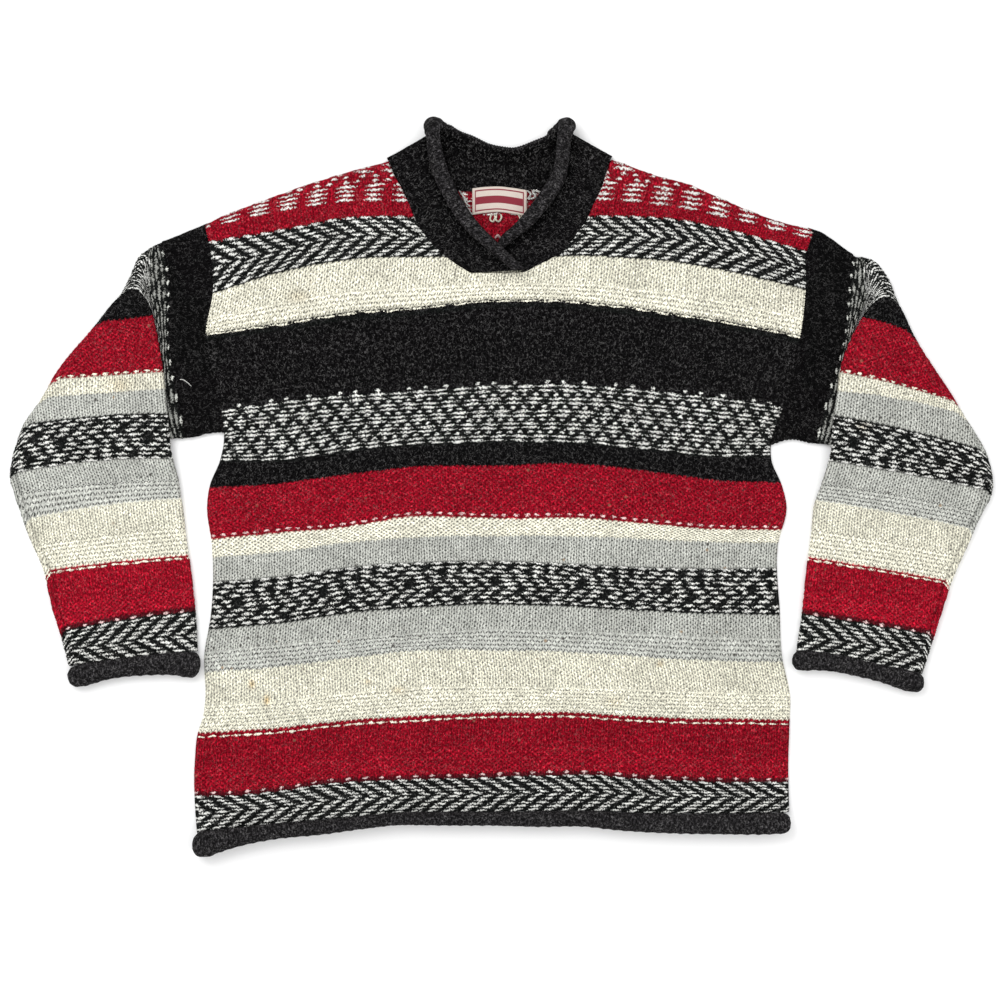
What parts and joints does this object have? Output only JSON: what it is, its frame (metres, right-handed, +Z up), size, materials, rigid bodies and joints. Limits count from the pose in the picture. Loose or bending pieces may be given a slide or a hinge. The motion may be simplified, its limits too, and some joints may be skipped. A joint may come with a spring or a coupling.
{
  "type": "ski sweater laid flat",
  "caption": "Chunky knitted ski sweater laid flat: drop shoulders, folded sleeves, crossed roll-edge collar, curled hem and cuffs, striped and patterned bands.",
  "frame": {"origin": "middle of the garment's outline, on the surface it lies on", "axes": "+X to the right seen from above with the neck at the top, +Y from hem to neck, +Z up from the surface, out of the front"},
  "size_m": [1.046, 0.7851, 0.0311],
  "materials": {
    "striped_knit": "matt chunky wool knit in red, cream, grey, black and white bands",
    "charcoal_knit": "matt fuzzy charcoal heather wool knit",
    "woven_label": "smooth woven polyester with plain bands"
  },
  "bodies": {
    "root": {"back": "striped_knit", "front": "striped_knit", "sleeve_left": "striped_knit", "sleeve_right": "striped_knit", "sleeve_left_upper": "charcoal_knit", "sleeve_right_upper": "charcoal_knit", "collar": "charcoal_knit", "neck_label": "woven_label"}
  },
  "joints": []
}
